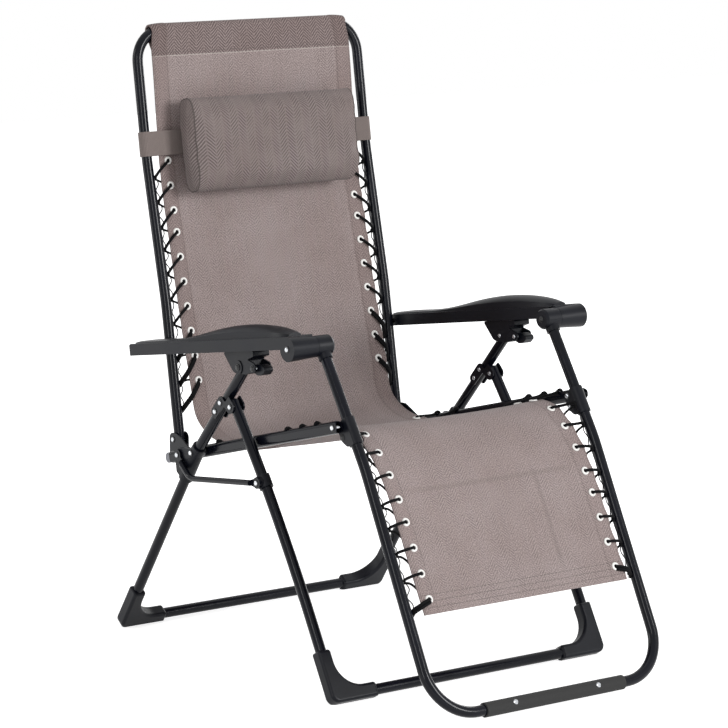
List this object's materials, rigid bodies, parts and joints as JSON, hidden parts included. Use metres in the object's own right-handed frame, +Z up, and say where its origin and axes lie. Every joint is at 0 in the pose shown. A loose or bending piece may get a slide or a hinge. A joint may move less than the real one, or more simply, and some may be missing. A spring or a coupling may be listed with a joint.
{
  "type": "zero gravity recliner",
  "caption": "Folding tube-frame lounge chair with a laced sling seat that tips back, with armrests, side locks, footrest and a sliding head pillow.",
  "frame": {"origin": "on the floor, at the centre of the bounding box seen from above", "axes": "+Z up; the sitter faces -Y; +X is on the sitter's left"},
  "size_m": [0.6364, 0.9266, 1.1003],
  "materials": {
    "painted_steel": "satin",
    "zinc": "satin",
    "sling_textile": "matt",
    "pillow_textile": "matt",
    "elastic": "matt",
    "eyelet_plastic": "gloss",
    "nylon": "satin",
    "grip_rubber": "matt",
    "black_plastic": "satin"
  },
  "bodies": {
    "rear_legs": {"rear_leg_frame": "painted_steel", "rear_boot_right": "black_plastic", "rear_boot_left": "black_plastic", "leg_brackets": "painted_steel", "leg_bracket_rivets": "zinc", "leg_hinge_rivets": "zinc", "pivot_sleeve_right": "black_plastic", "pivot_sleeve_left": "black_plastic", "rail_pivot_rivets": "zinc", "brace_pivot_rivets": "zinc", "rail_washers": "nylon", "lock_pivot_rivets": "zinc"},
    "front_legs": {"front_leg_frame": "painted_steel", "front_boot_right": "black_plastic", "front_boot_left": "black_plastic", "front_leg_caps": "black_plastic"},
    "collars": {"collar_right": "black_plastic", "collar_left": "black_plastic"},
    "braces": {"brace_right": "painted_steel", "brace_left": "painted_steel", "brace_end_rivets": "zinc"},
    "seat_rails": {"seat_rail_right": "painted_steel", "seat_rail_left": "painted_steel", "rail_brackets": "painted_steel", "back_pivot_rivets": "zinc", "back_washers": "nylon", "rail_bumpers": "nylon", "footrest_pivot_rivets": "zinc", "seat_sling": "sling_textile", "seat_eyelets": "eyelet_plastic", "seat_laces": "elastic"},
    "back": {"back_frame": "painted_steel", "armrest_rear_bolts": "zinc", "back_sling": "sling_textile", "back_eyelets": "eyelet_plastic", "back_laces": "elastic"},
    "headrest": {"pillow": "pillow_textile", "pillow_straps": "pillow_textile"},
    "footrest": {"footrest_frame": "painted_steel", "footrest_ear_right": "black_plastic", "footrest_ear_left": "black_plastic", "footrest_tie_rivets": "zinc", "armrest_knuckle_right": "black_plastic", "armrest_knuckle_left": "black_plastic", "foot_pad": "grip_rubber", "foot_pad_screws": "zinc", "leg_sling": "sling_textile", "leg_eyelets": "eyelet_plastic", "leg_laces": "elastic"},
    "armrests": {"armrest_right": "black_plastic", "armrest_left": "black_plastic", "armrest_guides": "painted_steel", "palm_pad_right": "black_plastic", "palm_pad_left": "black_plastic", "armrest_front_bolts": "zinc"},
    "lock_blocks": {"lock_block_right": "black_plastic", "lock_block_left": "black_plastic", "lock_lever_pins": "zinc"},
    "lock_lever_right": {"lock_lever_right": "black_plastic"},
    "lock_lever_left": {"lock_lever_left": "black_plastic"}
  },
  "joints": [
    {"name": "leg_fold", "type": "hinge", "parent": "rear_legs", "child": "front_legs", "pos_m": [0, 0.074, 0.465], "axis": [1, 0, 0], "range_deg": [0, 60]},
    {"name": "brace_swing", "type": "hinge", "parent": "rear_legs", "child": "braces", "pos_m": [0, 0.236, 0.356], "axis": [1, 0, 0], "range_deg": [0, 91.38]},
    {"name": "collar_slide", "type": "hinge", "parent": "front_legs", "child": "collars", "pos_m": [0, 2.39576, -1.3374], "axis": [1, 0, 0], "range_deg": [0, 4.96]},
    {"name": "recline", "type": "hinge", "parent": "seat_rails", "child": "back", "pos_m": [0, 0.318, 0.366], "axis": [-1, 0, 0], "range_deg": [0, 23.18]},
    {"name": "rail_tilt", "type": "hinge", "parent": "rear_legs", "child": "seat_rails", "pos_m": [0, 0.198, 0.365], "axis": [-1, 0, 0], "range_deg": [0, 12.92]},
    {"name": "footrest_swing", "type": "hinge", "parent": "seat_rails", "child": "footrest", "pos_m": [0, -0.196, 0.467], "axis": [-1, 0, 0], "range_deg": [0, 33.53]},
    {"name": "armrest_turn", "type": "hinge", "parent": "footrest", "child": "armrests", "pos_m": [0, -0.129, 0.594], "axis": [-1, 0, 0], "range_deg": [-37.63, 0]},
    {"name": "block_turn", "type": "hinge", "parent": "rear_legs", "child": "lock_blocks", "pos_m": [0, 0.039, 0.54], "axis": [-1, 0, 0], "range_deg": [0, 8.83]},
    {"name": "headrest_slide", "type": "slide", "parent": "back", "child": "headrest", "axis": [0, 0.1517, 0.9884], "range_m": [0, 0.08]},
    {"name": "lever_right", "type": "hinge", "parent": "lock_blocks", "child": "lock_lever_right", "pos_m": [0, -0.00296, 0.54347], "axis": [1, 0, 0], "range_deg": [0, 30]},
    {"name": "lever_left", "type": "hinge", "parent": "lock_blocks", "child": "lock_lever_left", "pos_m": [0, -0.00296, 0.54347], "axis": [1, 0, 0], "range_deg": [0, 30]}
  ],
  "couplings": [
    {"joint": "brace_swing", "follows": "leg_fold", "ratio": 1.5146},
    {"joint": "collar_slide", "follows": "leg_fold", "ratio": 0.081829},
    {"joint": "rail_tilt", "follows": "recline", "ratio": 0.55315},
    {"joint": "footrest_swing", "follows": "recline", "ratio": 1.4424},
    {"joint": "armrest_turn", "follows": "recline", "ratio": -1.619},
    {"joint": "block_turn", "follows": "recline", "ratio": 0.37655}
  ]
}
